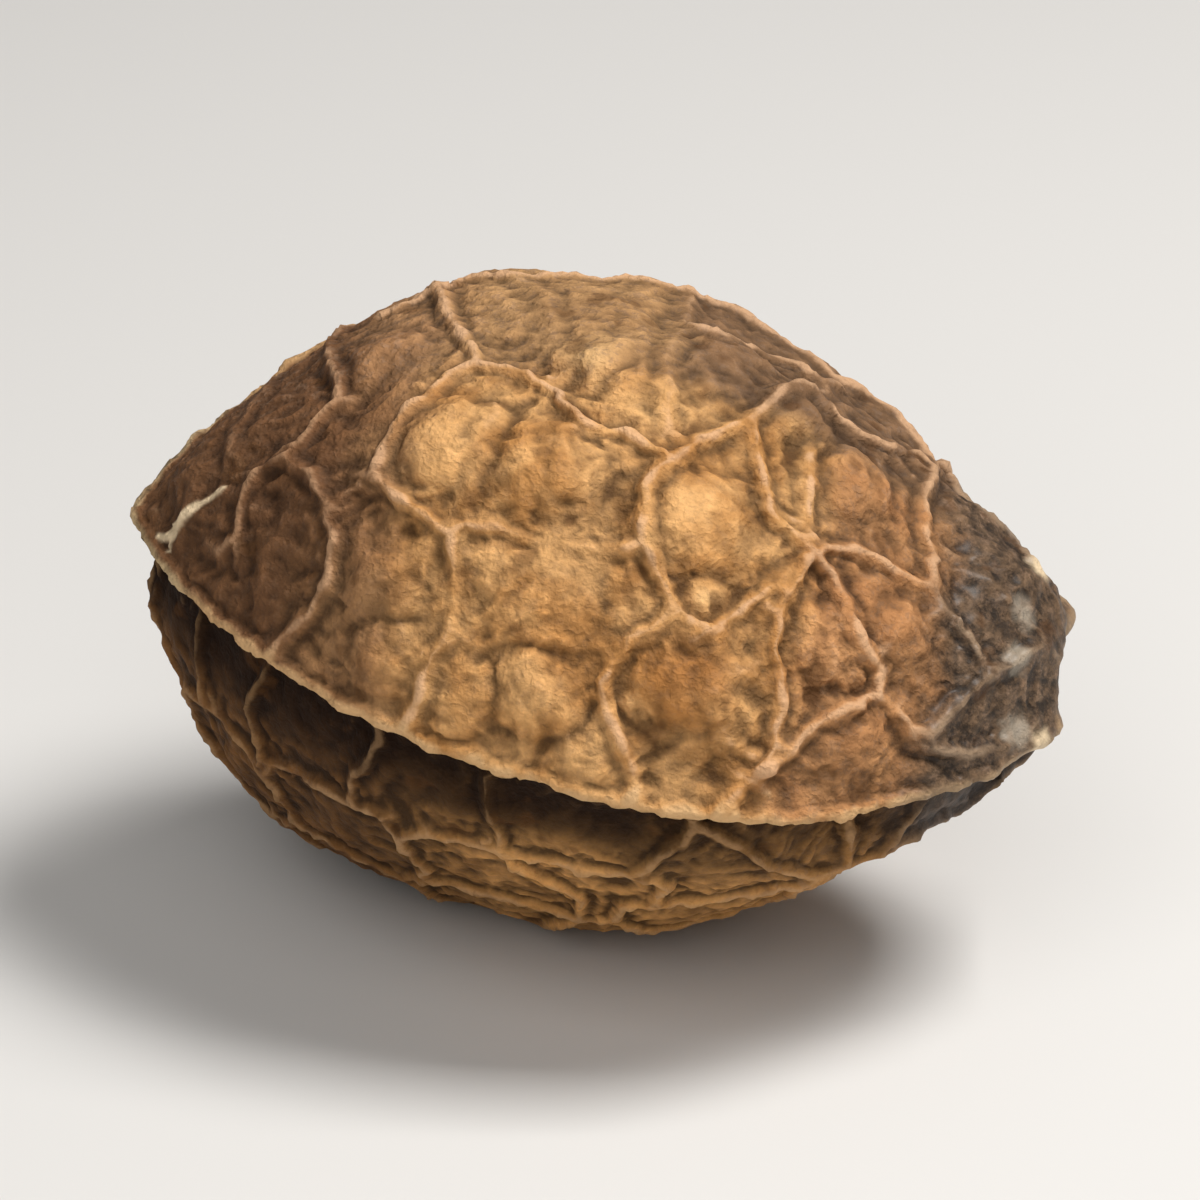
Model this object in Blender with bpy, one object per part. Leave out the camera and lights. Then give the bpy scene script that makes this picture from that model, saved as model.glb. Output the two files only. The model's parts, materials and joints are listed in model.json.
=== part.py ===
"""A dried drupe with a net of raised ridges, one solid, lying on a small flat spot.

Metres, +Z up. The long axis runs along X, with the pointed apex at -X and the blunt base at +X.
A keel runs along both sides, -Y and +Y, from the apex to the base, and parts the fruit in two
faces. Every ridge is a line on the skin, given by station and turn: the station is the distance
along the axis from the middle, and the turn goes round it, 0 on the +Y keel, 90 on top, 180 on
the -Y keel and 270 underneath.
"""

import math
import random
from collections import namedtuple

import bmesh
import bpy
import numpy as np
from mathutils import Matrix, Vector, noise
from mathutils.geometry import delaunay_2d_cdt

MM = 0.001

# Driving sizes of the body, in millimetres
LENGTH = 9.5
NEAR_WIDTH = 3.2
FAR_WIDTH = 3.6
TOP_HEIGHT = 1.95
LOW_DEPTH = 4.9
BASE_RADIUS = 1.0
KEEL_DIP = 0.75

# How each reach falls off from its widest station: where that station is, as a share of the half
# length, then (power, fall) towards the apex and towards the base
Profile = namedtuple("Profile", "reach base widest apex_side base_side")
NEAR = Profile(NEAR_WIDTH, BASE_RADIUS, 0.12, (2.0, 0.72), (2.3, 0.80))
FAR = Profile(FAR_WIDTH, BASE_RADIUS, -0.10, (2.2, 0.84), (1.8, 0.78))
TOP = Profile(TOP_HEIGHT, BASE_RADIUS - 0.05, -0.08, (2.0, 0.80), (2.0, 0.80))
LOW = Profile(LOW_DEPTH, BASE_RADIUS + 0.15, -0.12, (2.8, 0.72), (2.0, 0.85))
TOP_FULLNESS = 1.6
LOW_FULLNESS = 1.3
DIP_POWER = 2.2
KEEL_END = 0.965

# The blunt base: its squareness, where it takes over from the body, as a share of the half length,
# how softly, and how closely the joined outline keeps to the larger of the two
BLUNTNESS = 16.0
BASE_FROM = 0.6
BASE_SOFTNESS = 0.05
JOIN_POWER = 5

# Lie of the fruit, in degrees: rolled so that the top face leans to -Y, with its base lower
ROLL = 19.5
PITCH = 7.5

# Relief, in millimetres. Ridges from MAIN_STRENGTH up have a moat on both sides
CREST_HEIGHT = 0.12
CREST_HALF_WIDTH = 0.085
NET_STRENGTH = 0.95
MAIN_STRENGTH = 0.5
MOAT_DEPTH = 0.16
MOAT_REACH = 0.12
PAD_RISE = 0.16
PAD_REACH = 0.36
WRINKLE_HEIGHT = 0.05
WRINKLE_SIZE = 0.7
LUMP_HEIGHT = 0.12
LUMP_SIZE = 1.5
DRIFT_OFFSETS = (0.0, 17.3, 41.9)
SWELLING_RISE = 0.11

# How far the low face's ridges stray, as a share of the unit ball, and over what size
NET_WANDER = 0.1
NET_WANDER_SIZE = 0.25

# The keel stands up as a thin flange, and the low face is drawn in beneath it, in millimetres
KEEL_HEIGHT = 0.20
KEEL_HALF_WIDTH = 0.11
RECESS_DEPTH = 0.24
RECESS_MIDDLE = 0.42
RECESS_HALF_WIDTH = 0.3

# The stalk scar in the base and the two torn nubs of its rim, in millimetres
SCAR_RADIUS = 0.62
SCAR_DEPTH = 0.40
SCAR_RIM = (0.3, 4.62)
SCAR_FROM = 3.8
BASE_FADE = (4.45, 4.65)
NUB_HEIGHT = 0.17
NUB_RADIUS = 0.24
NUBS = ((4.50, 8.0), (4.55, 196.0))

# The flat spot that the fruit rests on: how much is worn off, and how far round it the net is low
REST_WEAR = 0.20
REST_EASE = 1.5
REST_LOWERING = 0.8

# Spacing of the skin's points, in millimetres: along the crests, from a crest to its foot, and over
# the floors, then the least gap from foot to crest, foot to foot and floor to the rest
CREST_STEP = 0.15
FOOT_OFFSET = 0.11
SKIN_STEP = 0.235
CREST_GAP = 0.088
FOOT_GAP = 0.077
FLOOR_GAP = 0.153

# Distances on the unit ball: clear of the keel, points taken as one, the reach over which a
# direction is evened out, a line's end taken as on the keel, and the shortest border kept
KEEL_CLEARANCE = 0.02
WELD = 0.006
NORMAL_REACH = 0.05
ON_KEEL = 0.01
SHORTEST_BORDER = 0.02

# Points along a ridge between two chosen ones, along a keel, round half the scar and along a border
CURVE_POINTS = 10
KEEL_POINTS = 160
SCAR_POINTS = 13
BORDER_POINTS = 7
SHARP_ANGLE = 60

# Reach of one half when it is laid flat: across the top face, across the low face and along
FLAT_TOP = 4.6
FLAT_LOW = 5.9
FLAT_LENGTH = 5.6

# Ridges of the top face: strength, then points of (station in millimetres, turn in degrees)
TOP_RIDGES = {
    "brow": (1.0, ((-2.0, 64), (-1.6, 77), (-1.5, 82), (-1.1, 84), (-0.8, 88), (-0.6, 93),
                   (-0.3, 96), (0.0, 96), (0.3, 98), (0.5, 100))),
    "brow_back": (0.6, ((-2.5, 0), (-2.4, 26), (-2.2, 50), (-2.0, 64))),
    "brow_tail": (0.8, ((0.5, 100), (0.7, 94), (1.1, 86), (1.3, 80), (1.6, 70))),
    "large_ring": (0.9, ((-1.5, 82), (-1.8, 86), (-2.0, 91), (-2.2, 96), (-2.3, 104), (-2.3, 110),
                         (-2.1, 115), (-1.8, 119), (-1.5, 122))),
    "waist": (0.8, ((-1.5, 122), (-1.4, 132), (-1.4, 142), (-1.5, 152), (-1.5, 180))),
    "apex_loop": (0.7, ((-2.9, 86), (-3.1, 94), (-3.2, 103), (-2.9, 110), (-2.7, 119), (-2.6, 130),
                        (-2.6, 140), (-2.7, 149), (-2.9, 162), (-3.0, 180))),
    "apex_arm": (0.5, ((-3.2, 103), (-3.5, 106), (-3.6, 119), (-3.6, 132))),
    "apex_top": (0.5, ((-2.9, 86), (-3.1, 64), (-3.1, 30), (-3.1, 0))),
    "link": (0.4, ((-2.7, 119), (-2.5, 113), (-2.3, 110))),
    "belt": (0.6, ((-1.5, 122), (-1.1, 119), (-0.6, 120), (0.0, 119), (0.4, 117))),
    "round_ring": (0.8, ((0.5, 100), (0.3, 105), (0.3, 112), (0.4, 117), (0.6, 122), (0.8, 126),
                         (1.1, 130))),
    "round_foot": (0.55, ((1.1, 130), (1.4, 124), (1.7, 118), (2.0, 108))),
    "round_back": (0.7, ((1.1, 86), (1.3, 93), (1.5, 102), (1.8, 106), (2.0, 108))),
    "star_back": (0.5, ((2.0, 108), (1.9, 99), (1.8, 92))),
    "star_base": (0.6, ((2.0, 108), (2.3, 104), (2.6, 103), (2.9, 104), (3.2, 106))),
    "star_slant": (0.5, ((2.0, 108), (2.3, 112), (2.6, 124), (2.9, 130), (2.9, 136))),
    "post": (0.8, ((2.0, 108), (1.9, 116), (1.8, 124), (1.8, 130), (1.9, 136), (1.9, 144),
                   (1.9, 152), (1.8, 158))),
    "amber_ring": (0.7, ((0.8, 126), (0.5, 134), (0.3, 142), (0.4, 151), (0.7, 162), (0.8, 180))),
    "shelf": (0.5, ((-1.4, 142), (-1.0, 144), (-0.5, 139), (0.1, 138), (0.5, 134))),
    "keel_branch": (0.9, ((1.5, 180), (1.6, 168), (1.8, 158), (2.0, 152), (2.3, 144), (2.7, 138),
                          (2.9, 136), (3.1, 141), (3.3, 151))),
    "base_ring": (0.8, ((3.3, 151), (3.5, 142), (3.6, 136), (3.8, 130), (3.6, 118), (3.4, 112),
                        (3.2, 106))),
    "base_loop": (0.35, ((2.9, 121), (3.0, 115), (3.3, 120), (3.2, 130), (3.1, 136))),
    "base_brow": (0.55, ((1.6, 70), (2.0, 74), (2.5, 71), (2.9, 53), (3.2, 30), (3.3, 0))),
    "back_spur": (0.4, ((1.6, 70), (1.9, 50), (2.1, 28), (2.2, 0))),
    "cheek": (0.4, ((2.5, 71), (2.5, 88), (2.6, 103))),
    "cap_edge": (0.6, ((2.9, 53), (2.9, 81), (3.1, 96), (3.2, 106))),
    "cap_middle": (0.5, ((3.8, 130), (4.1, 124), (4.4, 115))),
    "cap_back": (0.4, ((3.1, 96), (3.6, 96), (4.0, 102), (4.4, 115))),
    "cap_front": (0.5, ((3.3, 151), (3.8, 160), (4.2, 164), (4.4, 154))),
    "back_seam": (0.4, ((0.2, 0), (0.2, 28), (0.3, 58), (0.3, 79), (0.4, 96))),
    "back_rib": (0.5, ((0.3, 58), (0.7, 60), (1.2, 54), (1.7, 56), (1.9, 50))),
    "back_patch": (0.35, ((-1.6, 45), (-1.2, 56), (-0.9, 70), (-0.7, 84), (-0.6, 93))),
    "ring_rib": (0.35, ((-1.3, 94), (-1.3, 104), (-1.35, 112), (-1.5, 120))),
    "ring_back": (0.3, ((-0.7, 99), (-0.5, 106), (-0.5, 114), (-0.3, 120))),
    "swirl": (0.35, ((-0.9, 130), (-0.6, 125), (-0.2, 127), (-0.1, 132), (-0.4, 137), (-0.8, 135))),
    "apex_rib": (0.35, ((-2.3, 116), (-2.0, 126), (-1.8, 134), (-1.9, 144), (-1.6, 150))),
    "amber_rib": (0.3, ((1.2, 134), (1.25, 141), (1.45, 150))),
    "base_rib": (0.35, ((2.3, 118), (2.4, 127), (2.4, 136))),
    "front_rib": (0.3, ((-0.7, 146), (-0.3, 149), (0.1, 150))),
    "apex_fold": (0.4, ((-3.6, 106), (-3.9, 88), (-3.8, 60), (-3.7, 30), (-3.7, 0))),
}

# Swellings of the top face's floors: station in millimetres, turn in degrees, radius in millimetres
SWELLINGS = (
    (-1.75, 101, 0.62), (-0.70, 104, 0.58), (0.79, 110, 0.62), (-0.55, 132, 0.58),
    (-0.40, 152, 0.55), (1.12, 139, 0.65), (2.36, 125, 0.50), (2.92, 120, 0.45),
    (2.70, 150, 0.50), (-2.17, 138, 0.50), (-1.90, 158, 0.45), (-1.12, 162, 0.42),
    (0.24, 165, 0.42), (-0.50, 79, 0.42), (0.83, 66, 0.50), (1.60, 78, 0.45),
    (2.27, 88, 0.45), (-2.65, 72, 0.50),
)

# Cells of the low face: those of its front row by (station, turn), the rest scattered by a rule
FRONT_CELLS = (
    (-3.6, 200), (-2.8, 196), (-1.4, 196), (-2.1, 222), (-0.7, 217), (0.2, 196), (1.5, 206),
    (2.4, 192), (3.3, 190), (4.0, 208),
)
CELL_SPACING = 1.1
CELL_TOP = -0.12
CELL_TRIES = 4000
CELL_SEED = 11


def unit(vectors):
    return vectors / np.linalg.norm(vectors, axis=-1, keepdims=True)


def on_ball(station, turn):
    """The point of the unit ball that stands for this station and turn."""
    u = 2 * station / LENGTH
    ring = math.sqrt(max(0.0, 1 - u * u))
    angle = math.radians(turn)
    return np.array([u, ring * math.cos(angle), ring * math.sin(angle)])


def reach_at(u, profile):
    """How far the skin reaches from the axis at each share u of the half length."""
    shifted = u - profile.widest * (1 - u * u)
    span = np.abs(shifted)
    apex_power, apex_fall = profile.apex_side
    base_power, base_fall = profile.base_side
    apex = np.clip(1 - span**apex_power, 0, None) ** apex_fall
    base = np.clip(1 - span**base_power, 0, None) ** base_fall
    body = profile.reach * np.where(shifted < 0, apex, base)
    blunt = np.sqrt(np.clip(1 - np.clip(u, 0, None) ** BLUNTNESS, 0, None))
    blend = 1 / (1 + np.exp(-(u - BASE_FROM) / BASE_SOFTNESS))
    base = profile.base * blunt * blend
    return (body**JOIN_POWER + base**JOIN_POWER) ** (1 / JOIN_POWER)


def skin(ball):
    """The bare skin, in millimetres, for points of the unit ball."""
    u = ball[:, 0]
    ring = np.sqrt(np.clip(1 - u * u, 1e-12, None))
    across, up = ball[:, 1] / ring, ball[:, 2] / ring
    side = 0.5 + 0.5 * across
    side = side * side * (3 - 2 * side)
    width = reach_at(u, NEAR) * (1 - side) + reach_at(u, FAR) * side
    height = np.where(up > 0, reach_at(u, TOP), reach_at(u, LOW))
    fullness = np.where(up > 0, TOP_FULLNESS, LOW_FULLNESS)
    dip = KEEL_DIP * np.abs(u) ** DIP_POWER
    return np.stack(
        [LENGTH / 2 * u, width * across, height * np.sign(up) * np.abs(up) ** fullness - dip], 1
    )


def tangents(ball):
    """Two unit directions along the unit ball at each of its points."""
    along = np.where(np.abs(ball[:, :1]) > 0.9, [[0.0, 1.0, 0.0]], [[1.0, 0.0, 0.0]])
    first = unit(np.cross(ball, along))
    return first, np.cross(ball, first)


def skin_normals(ball):
    """Outward directions of the bare skin, evened out over a short reach."""
    first, second = (NORMAL_REACH * direction for direction in tangents(ball))
    along = skin(unit(ball + first)) - skin(unit(ball - first))
    other = skin(unit(ball + second)) - skin(unit(ball - second))
    return unit(np.cross(along, other))


def bell(distance, half_width):
    """1 at no distance, falling off smoothly over the half width."""
    return np.exp(-((distance / half_width) ** 2))


def drift(places, size):
    """Smooth shifts along x, y and z that change over about this size, each within -1 to 1."""
    shifts = []
    for place in places:
        point = Vector(place / size)
        shifts.append([noise.noise(point + Vector((offset, 0, 0))) for offset in DRIFT_OFFSETS])
    return np.array(shifts)


def smooth_line(points):
    """A Catmull-Rom curve through points of the unit ball."""
    points = np.array(points)
    before = np.concatenate([points[:1], points[:-1]])
    after = np.concatenate([points[1:], points[-1:]])
    slope = (after - before) / 2
    t = np.linspace(0, 1, CURVE_POINTS, endpoint=False)[:, None]
    pieces = []
    for i in range(len(points) - 1):
        start, end = points[i], points[i + 1]
        curve = (
            (2 * t**3 - 3 * t**2 + 1) * start
            + (t**3 - 2 * t**2 + t) * slope[i]
            + (3 * t**2 - 2 * t**3) * end
            + (t**3 - t**2) * slope[i + 1]
        )
        pieces.append(curve)
    return unit(np.concatenate(pieces + [points[-1:]]))


def even_line(line, step):
    """The same line with its points this far apart on the skin, ends kept."""
    length = np.linalg.norm(np.diff(skin(line), axis=0), axis=1)
    run = np.concatenate([[0], np.cumsum(length)])
    count = max(2, round(run[-1] / step) + 1)
    at = np.linspace(0, run[-1], count)
    return unit(np.stack([np.interp(at, run, line[:, k]) for k in range(3)], 1))


def even_rim(rim):
    """The closed keel with its points evenly spaced on the skin."""
    closed = np.concatenate([rim, rim[:1]])
    return even_line(closed, CREST_STEP)[:-1]


def keel_line(side, base_end):
    """The keel on one side, from the apex to a share of the half length."""
    u = -np.cos(np.linspace(0, math.acos(-base_end), KEEL_POINTS))
    ring = np.sqrt(np.clip(1 - u * u, 0, None))
    return np.stack([u, side * ring, 0 * u], 1)


def top_lines():
    lines = []
    for strength, points in TOP_RIDGES.values():
        lines.append((strength, smooth_line([on_ball(*point) for point in points])))
    return lines


def scar_rim(half):
    """The rim of the stalk scar over one half."""
    strength, station = SCAR_RIM
    turns = np.linspace(0, 180, SCAR_POINTS) * half
    return strength, smooth_line([on_ball(station, turn) for turn in turns])


def wandering(ends):
    """A line between two points of the unit ball that strays to the sides, its ends kept."""
    share = np.linspace(0, 1, BORDER_POINTS)[:, None]
    line = ends[0] * (1 - share) + ends[1] * share
    line = line + NET_WANDER * np.sin(math.pi * share) * drift(line, NET_WANDER_SIZE)
    line[:, 2] = np.minimum(line[:, 2], ends[:, 2].max())
    return smooth_line(unit(line))


def low_cells():
    """Centres of the low face's cells, on the unit ball."""
    cells = [on_ball(*cell) for cell in FRONT_CELLS]
    draw = random.Random(CELL_SEED)
    for _ in range(CELL_TRIES):
        point = unit(np.array([draw.gauss(0, 1) for _ in range(3)]))
        if point[2] > CELL_TOP:
            continue
        gaps = skin(np.array(cells)) - skin(point[None])
        if np.linalg.norm(gaps, axis=1).min() > CELL_SPACING:
            cells.append(point)
    return np.array(cells)


def low_lines():
    """Borders between the low face's cells. Each cell is mirrored in the keel, so they end there."""
    cells = low_cells()
    bm = bmesh.new()
    for cell in np.concatenate([cells, cells * (1, 1, -1)]):
        bm.verts.new(cell)
    bmesh.ops.convex_hull(bm, input=bm.verts)
    borders = []
    for edge in bm.edges:
        if len(edge.link_faces) == 2:
            borders.append(sorted(tuple(round(k, 5) for k in face.normal) for face in edge.link_faces))
    bm.free()
    lines = []
    for border in sorted(borders):
        ends = unit(np.array(border))
        if ends[:, 2].max() > ON_KEEL or ends[:, 2].min() > -ON_KEEL:
            continue
        if np.linalg.norm(ends[0] - ends[1]) < SHORTEST_BORDER:
            continue
        ends[:, 2] = np.where(ends[:, 2] > -ON_KEEL, 0, ends[:, 2])
        lines.append((NET_STRENGTH, wandering(unit(ends))))
    return lines


def to_disc(ball):
    """Half of the ball laid flat: an equal-area map, with the keel as the unit circle."""
    return ball[:, :2] / np.sqrt(1 + np.abs(ball[:, 2:]))


def to_ball(disc, half):
    reach = np.clip((disc**2).sum(1), 0, 1)
    reach[reach > 1 - 1e-6] = 1
    flat = disc * np.sqrt(2 - reach)[:, None]
    return unit(np.concatenate([flat, half * (1 - reach)[:, None]], 1))


def nearest(points, others):
    """Distance from each point to the nearest of the others, in millimetres."""
    return np.array([np.linalg.norm(others - point, axis=1).min() for point in points])


def feet(line):
    """Points on both sides of a ridge, where its flanks meet the floor."""
    ahead = np.gradient(line, axis=0)
    sideways = unit(np.cross(line, ahead))
    found = []
    for step in (NORMAL_REACH / 5 * sideways, -NORMAL_REACH / 5 * sideways):
        moved = np.linalg.norm(skin(unit(line + step)) - skin(line), axis=1)
        found.append(unit(line + (FOOT_OFFSET / moved)[:, None] * step))
    return np.concatenate(found)


def thinned(ball, gap):
    """The points without those closer than this gap to an earlier one."""
    places = skin(ball)
    kept = np.zeros(len(ball), bool)
    for i, place in enumerate(places):
        near = np.abs(places[:i][kept[:i]] - place).max(1) < gap
        kept[i] = not near.any()
    return ball[kept]


def flat_grid(half):
    """Rows of points over one half laid flat, each row shifted by half a step."""
    along = SKIN_STEP / FLAT_LENGTH
    across = SKIN_STEP / (FLAT_TOP if half > 0 else FLAT_LOW) * math.sqrt(0.75)
    rows, columns = math.ceil(1 / across), math.ceil(1 / along) + 1
    grid = []
    for row in range(-rows, rows + 1):
        for column in range(-columns, columns + 1):
            grid.append(((column + 0.5 * (row % 2)) * along, row * across))
    grid = np.array(grid)
    return grid[(grid**2).sum(1) < 1 - KEEL_CLEARANCE]


def spread_points(half, crest):
    """Points of one half beside its ridges and over its floors, clear of the crests."""
    beside = np.concatenate([feet(line) for line in crest])
    beside = beside[half * beside[:, 2] > KEEL_CLEARANCE]
    crest = np.concatenate([skin(line) for line in crest])
    beside = beside[nearest(skin(beside), crest) > CREST_GAP]
    beside = thinned(beside, FOOT_GAP)
    floors = to_ball(flat_grid(half), half)
    taken = np.concatenate([skin(beside), crest])
    floors = floors[nearest(skin(floors), taken) > FLOOR_GAP]
    return np.concatenate([beside, floors])


def half_skin(half, rim, lines):
    """One half as triangles between points of the unit ball, with an edge along every ridge."""
    crest = [even_line(line, CREST_STEP) for _, line in lines]
    points = [to_disc(rim)]
    edges = [(i, (i + 1) % len(rim)) for i in range(len(rim))]
    total = len(rim)
    for line in crest:
        flat = to_disc(line)
        names = list(range(total, total + len(flat)))
        for end in (0, -1):
            if abs(line[end, 2]) < KEEL_CLEARANCE:
                names[end] = int(np.linalg.norm(rim - line[end], axis=1).argmin())
        edges += zip(names[:-1], names[1:])
        points.append(flat)
        total += len(flat)
    spread = spread_points(half, crest + [rim])
    points = np.concatenate(points + [to_disc(spread)])
    used = sorted({i for edge in edges for i in edge} | set(range(total, len(points))))
    place = {old: new for new, old in enumerate(used)}
    flat = [Vector(points[i]) for i in used]
    links = [(place[a], place[b]) for a, b in edges]
    result = delaunay_2d_cdt(flat, links, [], 0, 1e-6)
    ball = to_ball(np.array([tuple(v) for v in result[0]]), half)
    faces = [tuple(face) if half > 0 else tuple(reversed(face)) for face in result[2]]
    return ball, faces


def joined_skin(halves):
    """Both halves as one closed mesh over the unit ball."""
    bm = bmesh.new()
    for ball, faces in halves:
        verts = [bm.verts.new(point) for point in ball]
        for face in faces:
            bm.faces.new([verts[i] for i in face])
    bmesh.ops.remove_doubles(bm, verts=bm.verts, dist=WELD)
    loose = [vert for vert in bm.verts if not vert.link_faces]
    bmesh.ops.delete(bm, geom=loose, context="VERTS")
    return bm


def distance_to_line(points, line):
    """Distance in millimetres from each point to a line of short straight pieces."""
    best = np.full(len(points), np.inf)
    for start, end in zip(line[:-1], line[1:]):
        piece = end - start
        share = np.clip((points - start) @ piece / max(piece @ piece, 1e-12), 0, 1)
        gap = np.linalg.norm(points - start - share[:, None] * piece, axis=1)
        best = np.minimum(best, gap)
    return best


def swelling(place):
    """Height of the floors' swellings, each a low dome."""
    dome = np.zeros(len(place))
    for station, turn, radius in SWELLINGS:
        middle = skin(on_ball(station, turn)[None])
        gap = np.linalg.norm(place - middle, axis=1)
        dome = np.maximum(dome, 1 - (gap / radius) ** 2)
    return SWELLING_RISE * dome


def net_relief(ball, lines, keels):
    """Height over the bare skin: the net's crests and moats, the padded floors and the keel."""
    place = skin(ball)
    keel = np.minimum(*[distance_to_line(place, skin(line)) for line in keels])
    crest = KEEL_HEIGHT * bell(keel, KEEL_HALF_WIDTH)
    main = keel
    for strength, line in lines:
        gap = distance_to_line(place, skin(line))
        crest = np.maximum(crest, CREST_HEIGHT * strength * bell(gap, CREST_HALF_WIDTH))
        if strength >= MAIN_STRENGTH:
            main = np.minimum(main, gap)
    moat = 1 - bell(main, MOAT_REACH)
    pad = 1 - bell(main, PAD_REACH)
    folds = np.array([noise.noise(Vector(point / WRINKLE_SIZE)) for point in place])
    pads = (PAD_RISE + WRINKLE_HEIGHT * folds) * pad
    recess = RECESS_DEPTH * bell(keel - RECESS_MIDDLE, RECESS_HALF_WIDTH) * (ball[:, 2] < 0)
    return crest - MOAT_DEPTH * moat + pads + swelling(place) - recess


def with_base(place, bare, outward):
    """The sunken stalk scar in the base, and the nubs on its rim."""
    off_axis = np.hypot(bare[:, 1], bare[:, 2] + KEEL_DIP)
    inside = np.clip(1 - (off_axis / SCAR_RADIUS) ** 2, 0, 1) * (bare[:, 0] > SCAR_FROM)
    place = place - inside[:, None] * (SCAR_DEPTH, 0, 0)
    for station, turn in NUBS:
        nub = skin(on_ball(station, turn)[None])
        bump = bell(np.linalg.norm(bare - nub, axis=1), NUB_RADIUS)
        place = place + NUB_HEIGHT * bump[:, None] * outward
    return place


def lie():
    """How the fruit lies: rolled about its own axis, then tipped with its base down."""
    roll = Matrix.Rotation(math.radians(ROLL), 3, "X")
    pitch = Matrix.Rotation(math.radians(PITCH), 3, "Y")
    return np.array(pitch @ roll)


def lying_skin(ball, lines, keels):
    """The finished skin as it lies, in millimetres, standing on z = 0 over the middle of its box."""
    turn = lie()
    bare = skin(ball)
    outward = skin_normals(ball)
    lowest = bare[(bare @ turn.T)[:, 2].argmin()]
    ease = bell(np.linalg.norm(bare - lowest, axis=1) ** 2, REST_EASE**2)
    fade_start, fade_end = BASE_FADE
    end = np.clip((bare[:, 0] - fade_start) / (fade_end - fade_start), 0, 1)
    share = (1 - REST_LOWERING * ease) * (1 - end)
    height = net_relief(ball, lines, keels) * share
    place = bare + height[:, None] * outward + LUMP_HEIGHT * drift(bare, LUMP_SIZE)
    place = with_base(place, bare, outward) @ turn.T
    rest = place[:, 2].min() + REST_WEAR
    place[:, 2] = np.maximum(place[:, 2], rest) - rest
    middle = (place.min(0) + place.max(0)) / 2
    return place - (middle[0], middle[1], 0)


def husk_material():
    material = bpy.data.materials.new("dried_husk")
    material.use_nodes = True
    shader = material.node_tree.nodes["Principled BSDF"]
    shader.inputs["Base Color"].default_value = (0.36, 0.19, 0.065, 1)
    shader.inputs["Roughness"].default_value = 0.72
    shader.inputs["Metallic"].default_value = 0.0
    return material


def build_drupe():
    rim = np.concatenate([keel_line(1, 1.0), keel_line(-1, 1.0)[::-1][1:-1]])
    rim = even_rim(rim)
    keels = [keel_line(side, KEEL_END) for side in (1, -1)]
    top = top_lines() + [scar_rim(1)]
    low = low_lines() + [scar_rim(-1)]
    bm = joined_skin([half_skin(1, rim, top), half_skin(-1, rim, low)])
    ball = np.array([tuple(vert.co) for vert in bm.verts])
    place = lying_skin(unit(ball), top + low, keels) * MM
    for vert, point in zip(bm.verts, place):
        vert.co = point
    bmesh.ops.recalc_face_normals(bm, faces=bm.faces)
    mesh = bpy.data.meshes.new("dried_drupe")
    bm.to_mesh(mesh)
    bm.free()
    mesh.materials.append(husk_material())
    drupe = bpy.data.objects.new("dried_drupe", mesh)
    bpy.context.scene.collection.objects.link(drupe)
    mesh.shade_smooth()
    mesh.set_sharp_from_angle(angle=math.radians(SHARP_ANGLE))
    print(f"dried_drupe: {len(mesh.vertices)} points, {len(mesh.polygons)} faces")


for old in list(bpy.data.objects):
    bpy.data.objects.remove(old, do_unlink=True)
build_drupe()
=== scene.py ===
# %% [markdown]
# # A dried drupe, dressed for its portrait
# The solid model already has the fruit's body, its keel and its net of ridges, but it is built from
# about eleven thousand flat triangles. This lesson copies it, refines the copy until it can hold
# wrinkles, carves those wrinkles by formula, and gives the husk a material that knows where the
# ridges and hollows are.

# %% Load the frame
import json
import math

import bmesh
import bpy
import numpy as np
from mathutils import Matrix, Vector, noise
from mathutils.kdtree import KDTree

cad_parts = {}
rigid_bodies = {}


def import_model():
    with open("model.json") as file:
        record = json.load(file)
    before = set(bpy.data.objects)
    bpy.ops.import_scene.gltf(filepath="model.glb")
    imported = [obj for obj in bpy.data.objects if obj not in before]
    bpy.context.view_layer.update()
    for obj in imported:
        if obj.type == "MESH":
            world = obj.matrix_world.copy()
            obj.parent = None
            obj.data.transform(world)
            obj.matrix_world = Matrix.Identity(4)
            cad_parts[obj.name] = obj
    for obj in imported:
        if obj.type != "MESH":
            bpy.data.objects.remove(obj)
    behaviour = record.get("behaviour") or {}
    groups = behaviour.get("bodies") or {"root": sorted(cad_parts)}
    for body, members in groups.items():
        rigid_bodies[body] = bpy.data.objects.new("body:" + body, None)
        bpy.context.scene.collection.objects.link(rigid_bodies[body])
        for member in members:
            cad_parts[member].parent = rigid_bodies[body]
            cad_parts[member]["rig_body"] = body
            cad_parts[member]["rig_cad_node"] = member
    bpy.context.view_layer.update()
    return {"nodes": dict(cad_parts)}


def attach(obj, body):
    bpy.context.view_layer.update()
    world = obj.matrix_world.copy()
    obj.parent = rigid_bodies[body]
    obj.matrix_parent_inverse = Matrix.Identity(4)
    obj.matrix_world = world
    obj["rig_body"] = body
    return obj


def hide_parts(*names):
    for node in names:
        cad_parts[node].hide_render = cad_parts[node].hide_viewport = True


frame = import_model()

MM = 0.001
solid = frame["nodes"]["dried_drupe"]
print("solid:", len(solid.data.polygons), "triangles")

# %% [markdown]
# ## A copy to work on
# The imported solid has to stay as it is, because the physics uses it. So the husk starts as a copy.
# Its triangles are loose: each has its own three corners. Merging the corners by distance first
# makes it one closed skin, which the later steps need, because they move neighbours together.

# %% Copy the solid and merge its corners
MERGE_DISTANCE = 0.002 * MM

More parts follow.
